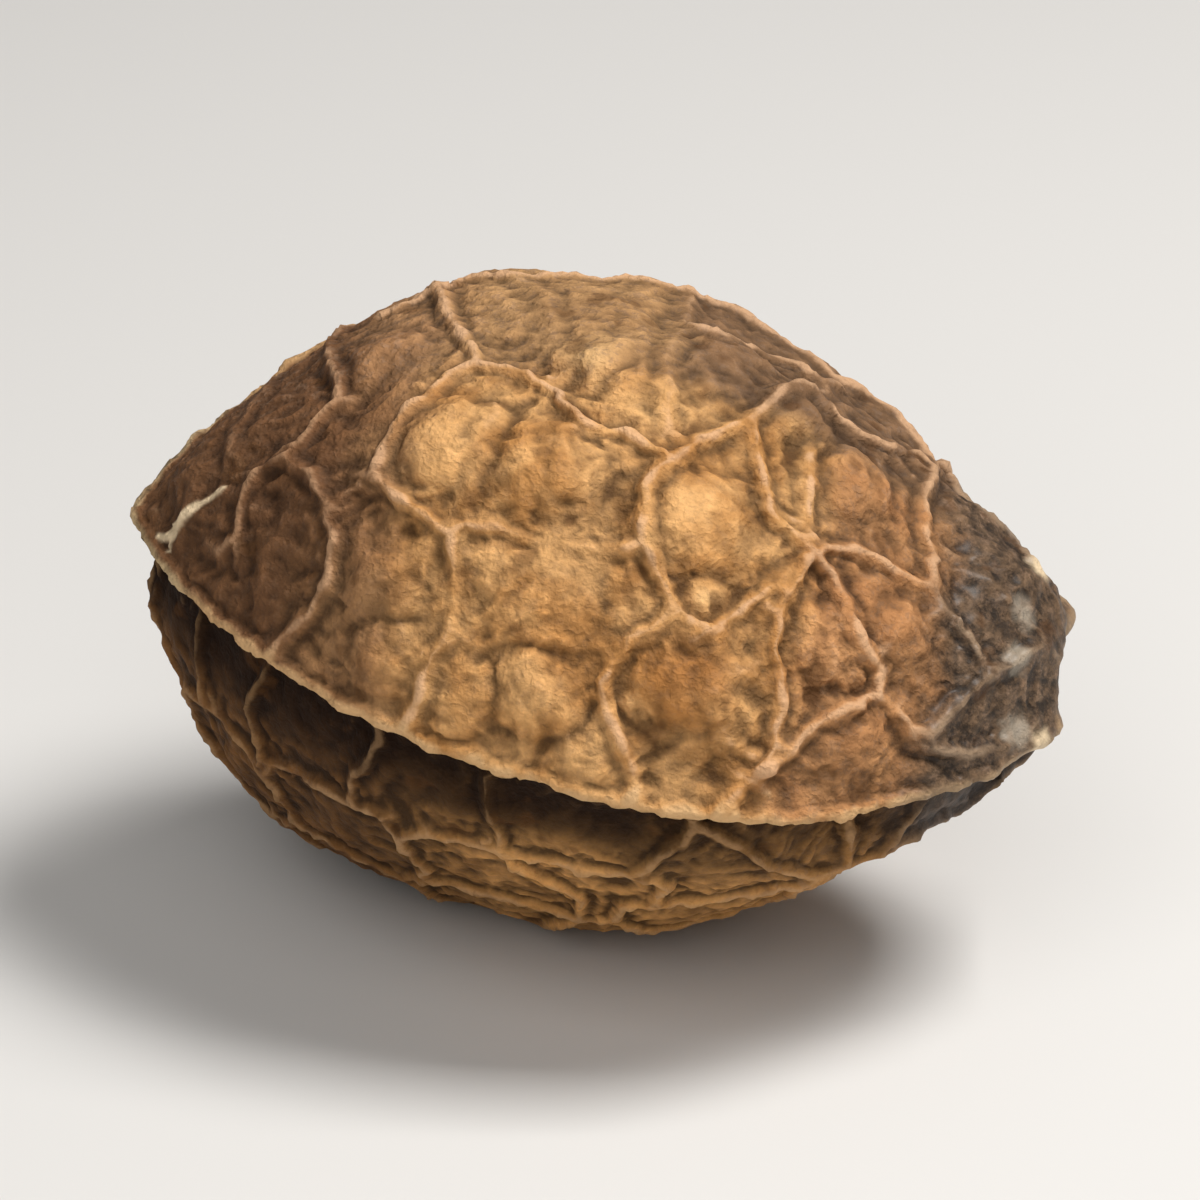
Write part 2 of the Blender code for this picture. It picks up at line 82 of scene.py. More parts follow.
bpy.ops.object.select_all(action="DESELECT")
solid.select_set(True)
bpy.context.view_layer.objects.active = solid
bpy.ops.object.duplicate()
husk = bpy.context.view_layer.objects.active
husk.name = "wrinkled_husk"
husk.data.name = "wrinkled_husk"
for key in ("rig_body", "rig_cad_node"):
    if key in husk:
        del husk[key]
husk.parent = None
bpy.ops.object.mode_set(mode="EDIT")
bpy.ops.mesh.select_all(action="SELECT")
bpy.ops.mesh.remove_doubles(threshold=MERGE_DISTANCE)
bpy.ops.mesh.customdata_custom_splitnormals_clear()
bpy.ops.object.mode_set(mode="OBJECT")
print("merged:", len(husk.data.vertices), "points")

# %% [markdown]
# ## Where the ridges run
# The solid has an edge along every ridge, and there its two faces turn away from each other, while
# the floors between are nearly flat. So the ridges can be read off the mesh: they are the edges
# with a sharp outward fold. Each is kept as a row of points with its strength, from how sharp the
# fold is. Later, the distance to the nearest of them says where a crest, its moat and a pad are.

# %% Collect the ridge lines
LEAST_FOLD = math.radians(30)
FULL_FOLD = math.radians(85)
LEAST_HEIGHT = 0.1
RIDGE_SPACING = 0.02


def ridge_points(mesh):
    """Points along every sharp outward edge, in millimetres, and how strong each edge's fold is."""
    shape = bmesh.new()
    shape.from_mesh(mesh)
    points, strengths = [], []
    for edge in shape.edges:
        fold = edge.calc_face_angle_signed(0)
        start, end = (vert.co / MM for vert in edge.verts)
        if fold < LEAST_FOLD or max(start.z, end.z) < LEAST_HEIGHT:
            continue
        steps = max(1, round((end - start).length / RIDGE_SPACING))
        points += [start.lerp(end, step / steps) for step in range(steps + 1)]
        strengths += [min(1.0, fold / FULL_FOLD)] * (steps + 1)
    shape.free()
    return points, np.array(strengths)


crest_points, crest_strengths = ridge_points(husk.data)
crest_tree = KDTree(len(crest_points))
for index, point in enumerate(crest_points):
    crest_tree.insert(point, index)
crest_tree.balance()
print("ridge points:", len(crest_points), "mean strength %.2f" % crest_strengths.mean())

# %% [markdown]
# ## Finer triangles
# A wrinkle a fifth of a millimetre wide needs several points across it. Subdividing twice, each
# time with smoothness, turns every flat triangle into sixteen that bulge a little, so the ridges
# come out as curves. Two rounds of smoothing then take off the last of the old facets.

# %% Subdivide and smooth
bpy.ops.object.mode_set(mode="EDIT")
bpy.ops.mesh.select_all(action="SELECT")
for _ in range(2):
    bpy.ops.mesh.subdivide(number_cuts=1, smoothness=1.0)
bpy.ops.mesh.vertices_smooth(factor=0.5, repeat=2)
bpy.ops.object.mode_set(mode="OBJECT")
husk.data.shade_smooth()
print("refined:", len(husk.data.vertices), "points,", len(husk.data.polygons), "triangles")

# %% [markdown]
# ## Tools for carving
# The carving could be done with a stack of Displace modifiers, but each of them only knows one
# texture. Here it works on all points at once, as lists of numbers, so that any formula can be
# used. These helpers read the points, take the mean of each point's neighbours, and find the
# direction straight out of the skin.

# %% Read the points
mesh = husk.data
count = len(mesh.vertices)
places = np.empty(count * 3)
mesh.vertices.foreach_get("co", places)
places = places.reshape(-1, 3) / MM
ends = np.empty(len(mesh.edges) * 2, int)
mesh.edges.foreach_get("vertices", ends)
ends = ends.reshape(-1, 2)
neighbours = np.bincount(ends.ravel(), minlength=count)
print("neighbours of a point: from", neighbours.min(), "to", neighbours.max())


# %% Helpers for the points
def softened(values, rounds):
    """The values after this many rounds of moving to the mean of the neighbours."""
    columns = values.reshape(count, -1).T.copy()
    for _ in range(rounds):
        for column in columns:
            total = np.bincount(ends[:, 0], column[ends[:, 1]], count)
            total += np.bincount(ends[:, 1], column[ends[:, 0]], count)
            column[:] = total / neighbours
    return columns.T.reshape(values.shape)


def outward_now():
    """Writes the points to the mesh, and returns the direction out of the skin at each."""
    mesh.vertices.foreach_set("co", (places * MM).ravel())
    mesh.update()
    normals = np.empty(count * 3)
    mesh.vertex_normals.foreach_get("vector", normals)
    return normals.reshape(-1, 3)


def carved(heights):
    """The points after each moves out of the skin by its height. None goes below the table."""
    moved = places + heights[:, None] * outward_now()
    moved[:, 2] = np.maximum(moved[:, 2], 0)
    return moved


def ramp(values, low, high):
    """0 below low, 1 above high, and a smooth step between."""
    share = np.clip((values - low) / (high - low), 0, 1)
    return share * share * (3 - 2 * share)


def bell(distance, half_width):
    """1 at no distance, falling off smoothly over the half width."""
    return np.exp(-((distance / half_width) ** 2))


# %% [markdown]
# ## Noise for a skin that never repeats
# Nothing on a dried fruit is regular, so every line and height here is disturbed by noise. Smooth
# noise gives slow changes. Read at points that are themselves shifted by noise, it gives bent
# patterns. Folded, it gives creases, and the cells round scattered points give a net. All of them
# depend only on the place, so the husk comes out the same on each run.

# %% Noise helpers
def noise_at(points, size, offset=0.0):
    """Smooth noise from about -1 to 1 that changes over this size in millimetres."""
    shift = Vector((offset, -offset, offset * 0.7))
    return np.array([noise.noise(Vector(point) + shift) for point in (points / size).tolist()])


def bent(points, size, reach):
    """The points, each shifted a little, so that a pattern read there comes out bent."""
    shifts = [noise_at(points, size, offset) for offset in (3.1, 17.7, 41.3)]
    return points + reach * np.stack(shifts, 1)


def creases(points, size, offset=0.0):
    """Folded noise: near 1 along thin lines and lower between them."""
    return 1 - np.abs(noise_at(points, size, offset)) * 2


def net(points, size):
    """0 on the borders between cells of about this size, and larger inside them."""
    gaps = [noise.voronoi(Vector(point))[0] for point in (points / size).tolist()]
    return np.array([gap[1] - gap[0] for gap in gaps])


# %% [markdown]
# ## How far every point is from a ridge
# A ridge on the real husk wavers a little and changes in strength along its way. A search tree finds
# the nearest ridge point for each point of the skin quickly. The search starts from slightly bent
# places, so that the ridges waver, and the strength is softened, so that it changes slowly.

# %% Distance to the ridges
def to_ridges(points):
    """For each point, the distance to the nearest ridge in millimetres, and that ridge's strength."""
    found = [crest_tree.find(point)[1:] for point in points.tolist()]
    indices = np.array([index for index, _ in found])
    return np.array([gap for _, gap in found]), crest_strengths[indices]


gap, strength = to_ridges(bent(places, 0.22, 0.05))
strength = softened(strength, 4)
print("gap to a ridge: up to %.2f mm, mean %.2f" % (gap.max(), gap.mean()))

# %% [markdown]
# ## The fruit's own axes
# The fruit lies rolled and tipped, so each point is also turned back to the fruit's own axes. In
# those, x runs from the pointed end to the base, y from the near keel to the far one, and z is 0
# along the keel. They say where the keel, the pads and the zones of colour lie. The keel curves up
# a little towards both ends, and the last term takes that curve out.

# %% Turn to the fruit's own axes
OWN_MIDDLE = (0.18, -0.26, 4.47)
ROLL, PITCH = math.radians(19.5), math.radians(7.5)
HALF_LENGTH = 4.75
KEEL_DROP, KEEL_CURVE = 0.75, 2.2


def own_axes(points):
    """x, y and z of the points in the fruit's own axes, in millimetres."""
    x, y, z = (points - OWN_MIDDLE).T
    own_x = x * math.cos(PITCH) - z * math.sin(PITCH)
    upright = x * math.sin(PITCH) + z * math.cos(PITCH)
    own_y = y * math.cos(ROLL) + upright * math.sin(ROLL)
    own_z = upright * math.cos(ROLL) - y * math.sin(ROLL)
    return own_x, own_y, own_z + KEEL_DROP * np.abs(own_x / HALF_LENGTH) ** KEEL_CURVE


own_x, own_y, own_z = own_axes(places)
print("own axes: x to %.2f, y to %.2f, z to %.2f" % (own_x.max(), own_y.max(), own_z.max()))

# %% [markdown]
# ## Pads on the floors of the net
# On the upper face the floors of the net swell into pads, each half a millimetre across or more.
# Most rows repeat the solid's own swellings, with their places turned by a helper script into x and
# y straight down on the face, and rounded. Two more were added. A pad is a dome, and where two pads
# meet there is a seam. The last number is the pad's tint: below 0 it's more amber, above 0 paler.

# %% Pads and the seams between them
PADS = (
    (-1.75, -0.55, 0.62, 0.3), (-0.70, -0.80, 0.58, 0.0), (0.80, -1.10, 0.62, 0.2),
    (-0.55, -2.05, 0.58, -0.1), (-0.40, -2.75, 0.55, 0.1), (1.10, -2.40, 0.65, -0.9),
    (1.10, -1.80, 0.32, 0.8), (2.35, -1.60, 0.50, -0.1), (2.90, -1.25, 0.45, 0.1),
    (2.70, -2.30, 0.50, -0.1), (-2.15, -1.85, 0.50, -0.2), (-1.90, -2.40, 0.45, -0.2),
    (-1.10, -2.75, 0.42, 0.2), (0.25, -3.05, 0.42, 0.3), (-0.50, 0.65, 0.42, 1.0),
    (0.85, 1.35, 0.50, 0.0), (1.60, 0.65, 0.45, 0.0), (2.25, 0.10, 0.45, 0.0),
    (-2.65, 0.85, 0.50, 0.0), (0.20, 0.10, 0.45, 0.4),
)
SEAM_WIDTH = 0.22
SEAM_REACH = 1.45
TINT_REACH = 0.75

upper = np.flatnonzero(own_z > 0.1)
bending = bent(places, 0.45, 0.12)
reaches = []
for x, y, radius, _ in PADS:
    centre = places[upper[np.hypot(own_x[upper] - x, own_y[upper] - y).argmin()]]
    reaches.append(np.linalg.norm(bending - centre, axis=1) / radius)
reaches = np.array(reaches)
first, second = np.sort(reaches, axis=0)[:2]
radii = np.array([row[2] for row in PADS])
tints = np.array([row[3] for row in PADS])
dome = np.clip(1 - first**2, 0, 1) * radii[reaches.argmin(0)] / radii.max()
seam = bell(second - first, SEAM_WIDTH) * np.exp(-((second / SEAM_REACH) ** 4))
tint = (bell(reaches, TINT_REACH) * tints[:, None]).sum(0)
print("pads:", len(PADS), "share of the skin on a dome: %.2f" % (dome > 0).mean())

# %% [markdown]
# ## A softer start
# The solid's ridges are tubes of even width, and on a real husk that looks piped on. So the skin is
# softened first, by moving each point towards its neighbours. The keel stays crisp, because it is
# a thin lip. One cell in the middle of the near side has nearly lost its ridges, so it is softened
# most.

# %% Soften the skin
KEEL_ROUNDS, SKIN_ROUNDS, CALM_ROUNDS = 3, 16, 60
CALM_MIDDLE, CALM_SIZE = (-0.5, -2.0), (1.0, 0.7)

calm_x = (own_x - CALM_MIDDLE[0]) / CALM_SIZE[0]
calm_y = (own_y - CALM_MIDDLE[1]) / CALM_SIZE[1]
calm = np.exp(-((calm_x**2 + calm_y**2) ** 2)) * (own_z > 0)
keel = bell(own_z, 0.3) * bell(gap, 0.16)
crisp, soft = softened(places, KEEL_ROUNDS), softened(places, SKIN_ROUNDS)
places = crisp * keel[:, None] + soft * (1 - keel)[:, None]
places = places + calm[:, None] * (softened(soft, CALM_ROUNDS) - places)
strength = strength * (1 - 0.7 * calm)
print("softened points on the keel:", (keel > 0.5).sum(), "in the calm cell:", (calm > 0.5).sum())

# %% [markdown]
# ## Veins, moats and pads
# The ridges on the real fruit are thin and sharp, like veins that stand up as the flesh shrinks.
# Beside each runs a narrow moat, and the floor inside swells into a pad. A formula of the distance
# to the ridge adds a narrow vein, deepens the moat and fills the pad behind it. Noise along the
# vein wears it away in places, which keeps it from being even. Near the table and at the base all
# of this fades out, so the fruit still rests on its flat spot.

# %% Sharpen the net
VEIN_WIDTH, VEIN_HEIGHT, VEIN_WEAR = 0.06, 0.085, 0.06
MOAT_GAP, MOAT_WIDTH, MOAT_DEPTH = 0.16, 0.08, 0.03
SWELL_GAP, SWELL_WIDTH, SWELL_HEIGHT = 0.48, 0.22, 0.04
DOME_HEIGHT, SEAM_DEPTH, LIP_HEIGHT = 0.10, 0.03, 0.04

vein = strength * np.exp(-gap / VEIN_WIDTH)
moat = strength * bell(gap - MOAT_GAP, MOAT_WIDTH)
wear = noise_at(places, 0.35, 9.0) + 0.5 * noise_at(places, 0.12, 31.0)
net_relief = vein * (VEIN_HEIGHT + VEIN_WEAR * wear) * (1 - keel) - MOAT_DEPTH * moat
net_relief = net_relief + SWELL_HEIGHT * bell(gap - SWELL_GAP, SWELL_WIDTH)
net_relief = net_relief + DOME_HEIGHT * dome - SEAM_DEPTH * seam + LIP_HEIGHT * keel
table_ease = ramp(places[:, 2], 0.0, 0.5)
base_ease = 1 - ramp(places[:, 0], 4.2, 4.6)
places = carved(net_relief * table_ease * base_ease)
print("net relief: from %.3f to %.3f mm" % (net_relief.min(), net_relief.max()))

# %% [markdown]
# ## Wrinkles by formula
# As the flesh dried it shrank onto the stone, and the skin between the ridges went into fine folds.
# Folded noise, one minus its size, gives long thin creases that join and part. The gap between the
# two nearest scattered points gives a second, weaker net inside the cells. Close to a ridge the
# skin is stretched, so the wrinkles are lower there.

# %% Measure the wrinkles
FOLD_HEIGHT, FINE_FOLD_HEIGHT, SMALL_NET_HEIGHT, GRIT_HEIGHT = 0.024, 0.015, 0.016, 0.010

curved = bent(places, 0.6, 0.35)
folds = ramp(creases(curved, 0.45), 0.55, 1.0)
fine_folds = creases(curved, 0.18, 5.0)
small_net = bell(net(curved, 0.5), 0.10)
grit = noise_at(places, 0.1, 13.0)
wrinkles = FOLD_HEIGHT * folds + FINE_FOLD_HEIGHT * fine_folds + SMALL_NET_HEIGHT * small_net
wrinkles = wrinkles * (1 - 0.6 * bell(gap, 0.15)) + GRIT_HEIGHT * grit
print("wrinkles: from %.3f to %.3f mm" % (wrinkles.min(), wrinkles.max()))

# %% [markdown]
# ## Lines and flecks, one by one
# A few marks follow no rule. A painted highlight, a cream stroke, sits inside the pointed end, and
# the base has two flecks and three dull glints. They were picked by eye on the photograph, and a
# helper script turned each into a place on the husk. One more ridge runs along the far shoulder.
# Its points were chosen from a helper script's list of the husk's edge as the camera sees it,
# because the photograph has a pale line there. The wrinkles bend the borders of all of them, so
# that they don't look painted on, and the long ridge wanders from its points by slow noise.

# %% Helpers for lines and spots
ragged = 0.3 * grit + 0.2 * fine_folds


def stroke(points, width, wander=0.0):
    """A soft line of this width over the upper face, through points (x, y) in the fruit's own axes."""
    nearest = np.full(count, np.inf)
    shifted_y = own_y + wander * noise_at(places, 0.5, 51.0)
    for (x0, y0), (x1, y1) in zip(points[:-1], points[1:]):
        share = (own_x - x0) * (x1 - x0) + (shifted_y - y0) * (y1 - y0)
        share = np.clip(share / ((x1 - x0) ** 2 + (y1 - y0) ** 2), 0, 1)
        off_line = np.hypot(own_x - x0 - share * (x1 - x0), shifted_y - y0 - share * (y1 - y0))
        nearest = np.minimum(nearest, off_line)
    return bell(nearest * (1 + ragged), width) * (own_z > -0.05)


def spots(rows):
    """Soft ragged spots, each with its place and its radius in millimetres."""
    found = np.zeros(count)
    for x, y, z, radius in rows:
        reach = np.linalg.norm(places - (x, y, z), axis=1) / radius
        found = np.maximum(found, bell(reach + ragged, 1.0))
    return found


# %% Lines and flecks
FAR_RIM = (
    (-2.75, 1.95), (-1.95, 2.45), (-1.05, 2.50), (-0.20, 2.75), (0.70, 2.75),
    (1.60, 2.38), (2.55, 1.95), (3.10, 1.30), (3.50, 0.90), (4.10, 0.55),
)
# The next two rows draw a painted highlight along the edge inside the pointed end.
TIP_HIGHLIGHT = ((-4.15, -0.47), (-4.35, -0.50), (-4.56, -0.46))
TIP_HIGHLIGHT_TAIL = ((-3.90, -0.42), (-4.20, -0.48), (-4.40, -0.70))
FLECKS = ((4.38, 0.02, 4.32, 0.14), (4.50, -1.13, 3.00, 0.15))
GLINTS = ((4.33, -0.65, 4.18, 0.22), (4.28, -1.07, 3.87, 0.20), (4.27, -1.31, 3.18, 0.24))

rim = stroke(FAR_RIM, 0.085, wander=0.25)
tip_highlight = np.maximum(0.9 * stroke(TIP_HIGHLIGHT, 0.065), 0.7 * stroke(TIP_HIGHLIGHT_TAIL, 0.05))
fleck, glint = spots(FLECKS), spots(GLINTS)
print("rim points:", (rim > 0.5).sum(), "fleck points:", (fleck > 0.5).sum())

# %% Carve the wrinkles and the lines
RIM_HEIGHT, TIP_HEIGHT, FLECK_HEIGHT = 0.06, 0.03, 0.03

carving = wrinkles + RIM_HEIGHT * rim + TIP_HEIGHT * tip_highlight + FLECK_HEIGHT * fleck
places = carved(carving * table_ease)
outward = outward_now()
print("carved: from %.3f to %.3f mm" % (carving.min(), carving.max()))

# %% [markdown]
# ## Masks for the material
# The material could find the hollows by itself with a pointiness or an occlusion node, but those
# depend on the renderer. So it reads masks from the mesh, point by point. Fine lift says where the
# small wrinkles stand out: it is the height over a slightly smoothed copy. Broad lift does the same
# over a wider stretch, so it finds the hollows beside the ridges.

# %% Store the masks
FINE_ROUNDS, BROAD_ROUNDS = 6, 40
FULL_FINE_LIFT = 0.03

fine_lift = ((places - softened(places, FINE_ROUNDS)) * outward).sum(1)
broad_lift = ((places - softened(places, BROAD_ROUNDS)) * outward).sum(1)
own_x, own_y, own_z = own_axes(places)
vein_width = 0.045 + 0.02 * noise_at(places, 0.4, 23.0)
lip_width = 0.09 + 0.05 * (own_y > 0)
masks = {
    "vein": np.maximum(strength * bell(gap, vein_width), rim),
    "keel": bell(own_z, 0.2) * bell(gap, lip_width),
    # hollow and fine also tell the material where it paints shade in hollows and small creases
    "hollow": ramp(-broad_lift, 0.01, 0.09),
    "fine": np.clip(0.5 + fine_lift / FULL_FINE_LIFT, -0.1, 1.3),
    "dome": dome,
    "seam": seam,
    "tint": tint,
    # the fleck mask also holds the painted highlight inside the pointed end
    "fleck": np.maximum(fleck, tip_highlight),
    "glint": glint,
    "own_x": own_x,
    "own_y": own_y,
    "own_z": own_z,
}


def store(name, values):
    """Keeps one value a point on the mesh, under this name."""
    kept = mesh.attributes.new(name, "FLOAT", "POINT")
    kept.data.foreach_set("value", values.astype(np.float32))


for name, values in masks.items():
    store(name, values)
print("fine lift: from %.3f to %.3f mm" % (fine_lift.min(), fine_lift.max()))

# %% [markdown]
# ## Darker and paler stretches
# Some stretches of skin look darker or paler in the photograph than their zone alone would be. Each
# row is a soft ball in the fruit's own axes, its place and its radius in millimetres, and how much
# darker (below 0) or paler the skin is there. A helper script turned pixels of the photograph into
# most of the places, and the amounts were set by hand, comparing patches of the photograph and the
# render. So the stretches are partly the skin's own colour and partly painted light and painted
# shade. Part of what they follow may be light and shade, and not the skin's own colour.

# %% Store the stretches
CASTS = (
    (2.65, -2.48, 0.44, 0.40, -0.25), (-2.08, -2.08, 0.92, 0.50, -0.22), (1.67, 0.55, 1.79, 0.50, -0.20),
    (2.26, -0.34, 1.47, 0.50, -0.18), (-2.71, 0.57, 1.55, 0.70, 0.20), (-0.51, -2.40, 1.10, 0.70, 0.20),
    (-0.46, 0.29, 1.92, 0.50, 0.12), (-1.99, -2.30, -2.07, 0.80, -0.35), (0.02, -2.76, -1.78, 0.80, 0.30),
    (1.78, -2.97, -0.70, 0.50, -0.10), (2.30, -1.60, 1.05, 0.40, 0.18),
)

# The stretches are partly the skin's own tone and partly painted light and shade.
cast = np.zeros(count)
for x, y, z, radius, amount in CASTS:
    off_centre = np.sqrt((own_x - x) ** 2 + (own_y - y) ** 2 + (own_z - z) ** 2)
    cast = cast + amount * bell(off_centre, radius)
store("cast", cast)
print("casts: from %.2f to %.2f" % (cast.min(), cast.max()))

# %% [markdown]
# ## Shader maths that reads like maths
# A material is a web of nodes. Wiring it one node at a time hides what it does, so a small class
# wraps a node's output. Adding or multiplying two of them makes the Math node and its links.

# %% The wire class
class Wire:
    """A node's output, which can be used in sums as a number would be."""

    def __init__(self, tree, socket):
        self.tree, self.socket = tree, socket

    def maths(self, operation, *values):
        """A Math node with these values."""
        sockets = dict(enumerate(values))
        return add(self.tree, "ShaderNodeMath", {"operation": operation}, sockets)

    def __add__(self, other):
        return self.maths("ADD", self, other)

    def __sub__(self, other):
        return self.maths("SUBTRACT", self, other)

    def __rsub__(self, other):
        return self.maths("SUBTRACT", other, self)

    def __mul__(self, other):
        return self.maths("MULTIPLY", self, other)

    def __neg__(self):
        return self.maths("MULTIPLY", self, -1.0)

    def __abs__(self):
        return self.maths("ABSOLUTE", self)

    def at_least(self, least):
        return self.maths("MAXIMUM", self, least)

    __radd__ = __add__
    __rmul__ = __mul__


def add(tree, kind, settings, sockets, out=0):
    """Adds a node: its settings first, then a value or a link for each socket."""
    node = tree.nodes.new(kind)
    for name, value in settings.items():
        setattr(node, name, value)
    for name, value in sockets.items():
        if isinstance(value, Wire):
            tree.links.new(value.socket, node.inputs[name])
        else:
            node.inputs[name].default_value = value
    return Wire(tree, node.outputs[out])


# %% Helpers for masks and colours
def colour(code):
    """A colour from its hexadecimal code, as linear light."""
    parts = [int(code[i : i + 2], 16) / 255 for i in (0, 2, 4)]
    linear = [part / 12.92 if part <= 0.04045 else ((part + 0.055) / 1.055) ** 2.4 for part in parts]
    return (*linear, 1.0)


def attribute(name):
    """A mask that is stored on the husk's mesh."""
    return add(tree, "ShaderNodeAttribute", {"attribute_name": name}, {}, out="Fac")


def cloud(scale, detail=3.0, roughness=0.55):
    """Noise over the husk, with this many blobs to a millimetre."""
    sockets = {"Vector": millimetres, "Scale": scale, "Detail": detail, "Roughness": roughness}
    return add(tree, "ShaderNodeTexNoise", {}, sockets)


def step(wire, low, high):
    """0 below low, 1 above high, and a smooth step between."""
    sockets = {"Value": wire, "From Min": low, "From Max": high}
    return add(tree, "ShaderNodeMapRange", {"interpolation_type": "SMOOTHSTEP"}, sockets)


def mixed(share, first, second):
    """The first colour where the share is 0 and the second where it is 1."""
    settings = {"data_type": "RGBA", "clamp_factor": True}
    return add(tree, "ShaderNodeMix", settings, {"Factor": share, 6: first, 7: second}, out=2)


def layered(ground, layers):
    """The ground colour with layers over it, each a share and the code of its colour."""
    for share, code in layers:
        ground = mixed(share, ground, colour(code))
    return ground


def scaled(vector, amount):
    """A colour or a place times a number."""
    return add(tree, "ShaderNodeVectorMath", {"operation": "SCALE"}, {0: vector, "Scale": amount})


# %% [markdown]
# ## The husk's zones
# The middle of the fruit is golden brown and padded. Towards the pointed end the skin is darker and
# greyer, the far side has a mauve cast, and the base is nearly black, with a dull shine. Each zone
# is a mask that goes from 0 to 1 along one of the fruit's own axes. Slow noise shifts its border,
# because a straight border would look printed.

# %% Husk material: where its zones lie
skin = bpy.data.materials.new("dried_husk_skin")
skin.use_nodes = True
tree = skin.node_tree
shader = tree.nodes["Principled BSDF"]
millimetres = scaled(add(tree, "ShaderNodeTexCoord", {}, {}, out="Object"), 1 / MM)
along, across, above = attribute("own_x"), attribute("own_y"), attribute("own_z")
drift = cloud(0.7) - 0.5
apex_zone = step(-along + drift * 1.5, 2.3, 3.1)
shoulder_zone = step(-along + drift * 1.5, 1.6, 2.4)
base_zone = step(along + drift, 3.0, 3.5)
ruddy_zone = step(along + drift * 0.6, 1.7, 2.3)
back_zone = step(across + drift * 0.8, 0.1, 0.7) * step(above, 0.0, 0.3)
mauve_zone = back_zone * step(along + drift * 0.8, -0.1, 0.6)
low_zone = step(-above, -0.05, 0.2)
# Painted shadow of the keel: a band just under it, nearly black, weaker towards the base.
keel_groove_shadow = step(-above, 0.02, 0.15) * (1 - step(drift - above, 0.8, 1.8))
keel_groove_shadow = keel_groove_shadow * (1 - step(along, 0.5, 1.8) * 0.35)
print("zones:", len(tree.nodes), "nodes so far")

# %% [markdown]
# ## The skin's colour, and one painted shade
# The ground is golden brown in two tones that change over half a millimetre or so. The pads' tints
# and the zones go over it as thin layers of paint would, each by its mask, and the last ones win.
# One layer is painted shade, which darkens the low face more and more towards the pointed end.

# %% Husk material: the skin's colour and a painted shade
pad_tint, pad_dome = attribute("tint"), attribute("dome")
patches = cloud(1.6, 4.0)
pads = mixed(step(patches, 0.35, 0.65), colour("ab7944"), colour("cd9c64"))
pads = layered(pads, (
    (step(pad_tint, 0.0, 1.0) * 0.7, "dcb57e"),
    (step(-pad_tint, 0.0, 1.0) * 0.8, "955f2c"),
    (ruddy_zone * 0.7, "a06f49"),
    (back_zone * (0.75 - pad_dome * 0.4), "a47f57"),
    (mauve_zone * 0.9, "77593f"),
    (shoulder_zone * 0.7, "8d6747"),
    (apex_zone * 0.9, "634229"),
    (low_zone * 0.85, "a87a45"),
    # painted shade: the low face darkens towards the pointed end
    (low_zone * step(-along, 0.2, 2.4) * 0.75, "4f2f15"),
    (base_zone, "5a4633"),
))
print("skin colour:", len(tree.nodes), "nodes so far")

# %% [markdown]
# ## The colour of the ridges
# The ridges are rubbed to a pale pinkish tan, and the keel's lip to a warmer cream. Both are duller
# at the base and at the pointed end, where the skin is dark, and on the low face.

# %% Husk material: the colour of its ridges
edges = layered(colour("dcb088"), (
    (base_zone * 0.8, "8a7862"),
    (apex_zone * 0.6, "a37c5a"),
    (low_zone * 0.6, "b08a5a"),
))
lip = mixed(step(across, -0.5, 0.5), colour("e0b581"), colour("c99f6e"))
lip = layered(lip, (
    (step(-along, 3.9, 4.3), "d9bd90"),
    (base_zone * 0.6, "8a7862"),
))
print("ridge colours:", len(tree.nodes), "nodes so far")

# %% [markdown]
# ## Grain, hollows and seams
# Dry skin is never one tone, so fine grain and freckles cover it. Painted shade darkens the small
# creases and the hollows, and painted light makes the wrinkle tops paler. All of that is one
# brightness that multiplies the colour, so that it can't shift the hue. Dark brown painted shade
# then fills the hollows beside the ridges and the seams between the pads, a painted shadow makes
# the groove under the keel nearly black, and a few round pits are darker than the skin about them.

# %% Husk material: grain and freckles
hollow, fine, pad_seam = attribute("hollow"), attribute("fine"), attribute("seam")
speckle = cloud(10.0, 6.0, 0.75)
mottle = cloud(3.2, 3.0, 0.6)
base_grain = step(cloud(6.0, 5.0, 0.75), 0.35, 0.65)
# painted shade and light: creases and hollows darker, wrinkle tops paler, from the fine lift
shade = -0.08 + fine * 0.60 + speckle * 0.75 + mottle * 0.40 - hollow * 0.25
shade = shade + base_zone * (base_grain - 0.45) * 1.1
shade = shade + low_zone * ((mottle - 0.5) * 0.6 + (fine - 0.5) * 0.35)
# the stretches: partly the skin's own tone, partly painted light and shade
shade = (shade * (1 + attribute("cast"))).at_least(0.25)
freckles = step(cloud(8.0, 3.0, 0.8), 0.50, 0.62) * (0.15 + back_zone * 0.30 + ruddy_zone * 0.20)
body = scaled(layered(pads, ((freckles, "806651"),)), shade * 1.04)
print("grain:", len(tree.nodes), "nodes so far")

# %% Husk material: hollows, groove and pits
# painted shade: dark brown in the hollows beside the ridges and in the seams between the pads
hollow_and_seam_shade = hollow * 0.35 + pad_seam * (step(mottle, 0.35, 0.65) * 0.45) * (1 - base_zone)
pits = step(cloud(2.4, 2.0), 0.60, 0.70)
body = layered(body, (
    (hollow_and_seam_shade, "4a2d13"),
    # painted shadow in the groove under the keel
    (keel_groove_shadow * 0.92, "1e0f06"),
    (pits * 0.5, "5b3a1b"),
))
print("hollows:", len(tree.nodes), "nodes so far")

# %% [markdown]
# ## Ridges, keel and flecks over it
# The ridges' paleness is worn off in places, so noise is added to their mask before the step that
# cuts it. The keel takes the lip's colour, and the flecks, the glints and the painted highlight
# inside the pointed end come last.

# %% Husk material: ridges, keel and flecks
worn = attribute("vein") + drift * 0.5 + (patches - 0.5) * 0.8 + speckle * 0.5
